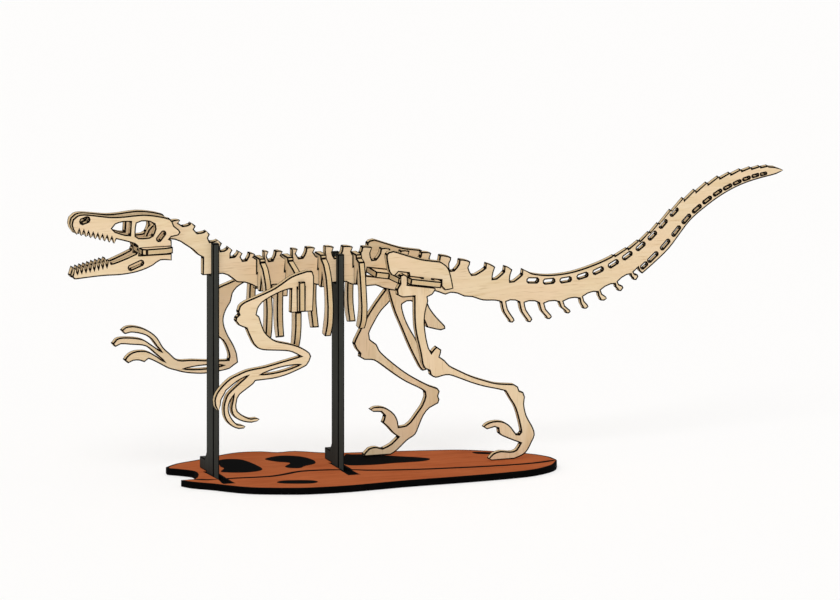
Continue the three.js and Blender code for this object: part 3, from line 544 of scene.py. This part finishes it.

# %% [markdown]
# ## Black spots
# Five black spots lie on the board like cast shadows of leaves or of the feet. Each is a closed curve through a
# few points, filled and given a thickness of about a tenth of a millimetre, a third of it below the board's top,
# rather than a pattern in the stain: it can be seen at the edge and it never blurs.

# %% Lay the black spots
SPOT_THICKNESS = 0.12 * MM
BOARD_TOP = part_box("base_back")[1][2]
SPOTS = {
    "spot_head_side": [
        (-88.8, 27.6), (-79.8, 25.7), (-76.9, 11.8), (-78.0, 0.5), (-87.1, -2.2), (-96.6, 2.2),
        (-93.2, 9.2), (-93.1, 15.1)],
    "spot_hooked": [
        (-68.7, 23.1), (-60.0, 27.5), (-51.9, 23.1), (-48.8, 13.9), (-50.5, 6.2), (-56.6, 2.5),
        (-60.2, -1.0), (-64.5, 0.5), (-65.5, 4.4), (-60.9, 11.0), (-66.2, 16.3)],
    "spot_under_foot": [
        (-31.5, 19.6), (-28.1, 19.6), (-19.5, 16.6), (-10.0, 9.4), (-0.6, 3.0), (2.2, -1.4), (-2.6, -4.8),
        (-15.8, -4.6), (-27.9, -5.0), (-38.3, -0.3)],
    "spot_front": [
        (-80.4, -27.5), (-75.7, -24.9), (-64.8, -28.2), (-62.4, -32.5), (-67.1, -34.9), (-77.8, -31.2)],
    "spot_tail_side": [(25.4, 6.6), (31.4, 4.6), (37.6, 0.2), (33.0, -0.8), (26.4, 2.4)],
}


def closed_curve(points, steps=6):
    """Points on a smooth closed curve through the given ones (Catmull-Rom)."""
    count, out = len(points), []
    for i in range(count):
        p0, p1, p2, p3 = (Vector(points[(i + k) % count]) for k in (-1, 0, 1, 2))
        for s in range(steps):
            t = s / steps
            out.append(0.5 * (2 * p1 + (p2 - p0) * t + (2 * p0 - 5 * p1 + 4 * p2 - p3) * t * t
                              + (3 * p1 - p0 - 3 * p2 + p3) * t ** 3))
    return out


for name, outline in SPOTS.items():
    mesh = bpy.data.meshes.new(name)
    bm = bmesh.new()
    ring = [bm.verts.new((p.x * MM, p.y * MM, BOARD_TOP - 0.3 * SPOT_THICKNESS)) for p in closed_curve(outline)]
    spot_face = bm.faces.new(ring)
    if spot_face.normal.z < 0:
        spot_face.normal_flip()
    top = bmesh.ops.extrude_face_region(bm, geom=[spot_face])
    for v in [g for g in top["geom"] if isinstance(g, bmesh.types.BMVert)]:
        v.co.z += SPOT_THICKNESS
    bmesh.ops.recalc_face_normals(bm, faces=bm.faces)
    bmesh.ops.triangulate(bm, faces=[f for f in bm.faces if len(f.verts) > 4])
    bm.to_mesh(mesh)
    bm.free()
    spot_board = mesh.attributes.new("board", "FLOAT_VECTOR", "POINT")
    for vertex, entry in zip(mesh.vertices, spot_board.data):
        entry.vector = vertex.co / MM
    mesh.materials.append(black_paint)
    spot = bpy.data.objects.new(name, mesh)
    bpy.context.scene.collection.objects.link(spot)
    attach(spot, "stand")
print(len(SPOTS), "spots painted")

# %% [markdown]
# ## Floor and light
# A plain pale floor and a bright, even studio: a white surround, and two broad fills that cast no shadow, so the
# bones on the far side come out as clear as the near ones. One soft key lamp from the front left casts the
# only shadows and keeps the sheets' walls a shade apart from their faces.

# %% Floor
floor_mesh = bpy.data.meshes.new("floor")
FLOOR_HALF = 6.0
floor_mesh.from_pydata(
    [(x * FLOOR_HALF, y * FLOOR_HALF, 0) for x, y in ((-1, -1), (1, -1), (1, 1), (-1, 1))], [], [(0, 1, 2, 3)])
floor = bpy.data.objects.new("floor", floor_mesh)
bpy.context.scene.collection.objects.link(floor)
floor.location.z = -0.0002
floor_paint, floor_tree = new_finish("pale_floor")
close_finish(floor_tree, add(floor_tree, "BsdfPrincipled", {
    "Base Color": colour("#fcfbfa"), "Roughness": 0.9, "Specular IOR Level": 0.1}))
floor_mesh.materials.append(floor_paint)

# %% Light
TENT = 0.3            # what the white surround sheds on the model
SEEN = 1.0            # how white the surround itself looks
LAMPS = {             # energy, the way to the lamp, whether it casts shadows
    "key_lamp": (0.5, (-0.55, -0.8, 1.25), True),
    "front_fill": (1.25, (-0.5, -0.85, 0.1), False),
    "top_fill": (1.75, (0.0, 0.0, 1.0), False),
}
world = bpy.data.worlds.new("light_tent")
bpy.context.scene.world = world
world.use_nodes = True
background = world.node_tree.nodes["Background"]
background.inputs["Color"].default_value = colour("#ffffff")
ray = add(world.node_tree, "LightPath")
strength = add(world.node_tree, "MapRange", {"Value": (ray, "Is Camera Ray"), "To Min": TENT, "To Max": SEEN})
world.node_tree.links.new(strength.outputs["Result"], background.inputs["Strength"])
for name, (energy, way, shadow) in LAMPS.items():
    lamp_data = bpy.data.lights.new(name, "SUN")
    lamp_data.energy = energy
    lamp_data.angle = math.radians(25)
    lamp_data.use_shadow = shadow
    lamp = bpy.data.objects.new(name, lamp_data)
    bpy.context.scene.collection.objects.link(lamp)
    lamp.rotation_euler = Vector(way).to_track_quat("Z", "Y").to_euler()
bpy.context.scene.view_settings.view_transform = "Standard"
bpy.context.scene.view_settings.look = "None"
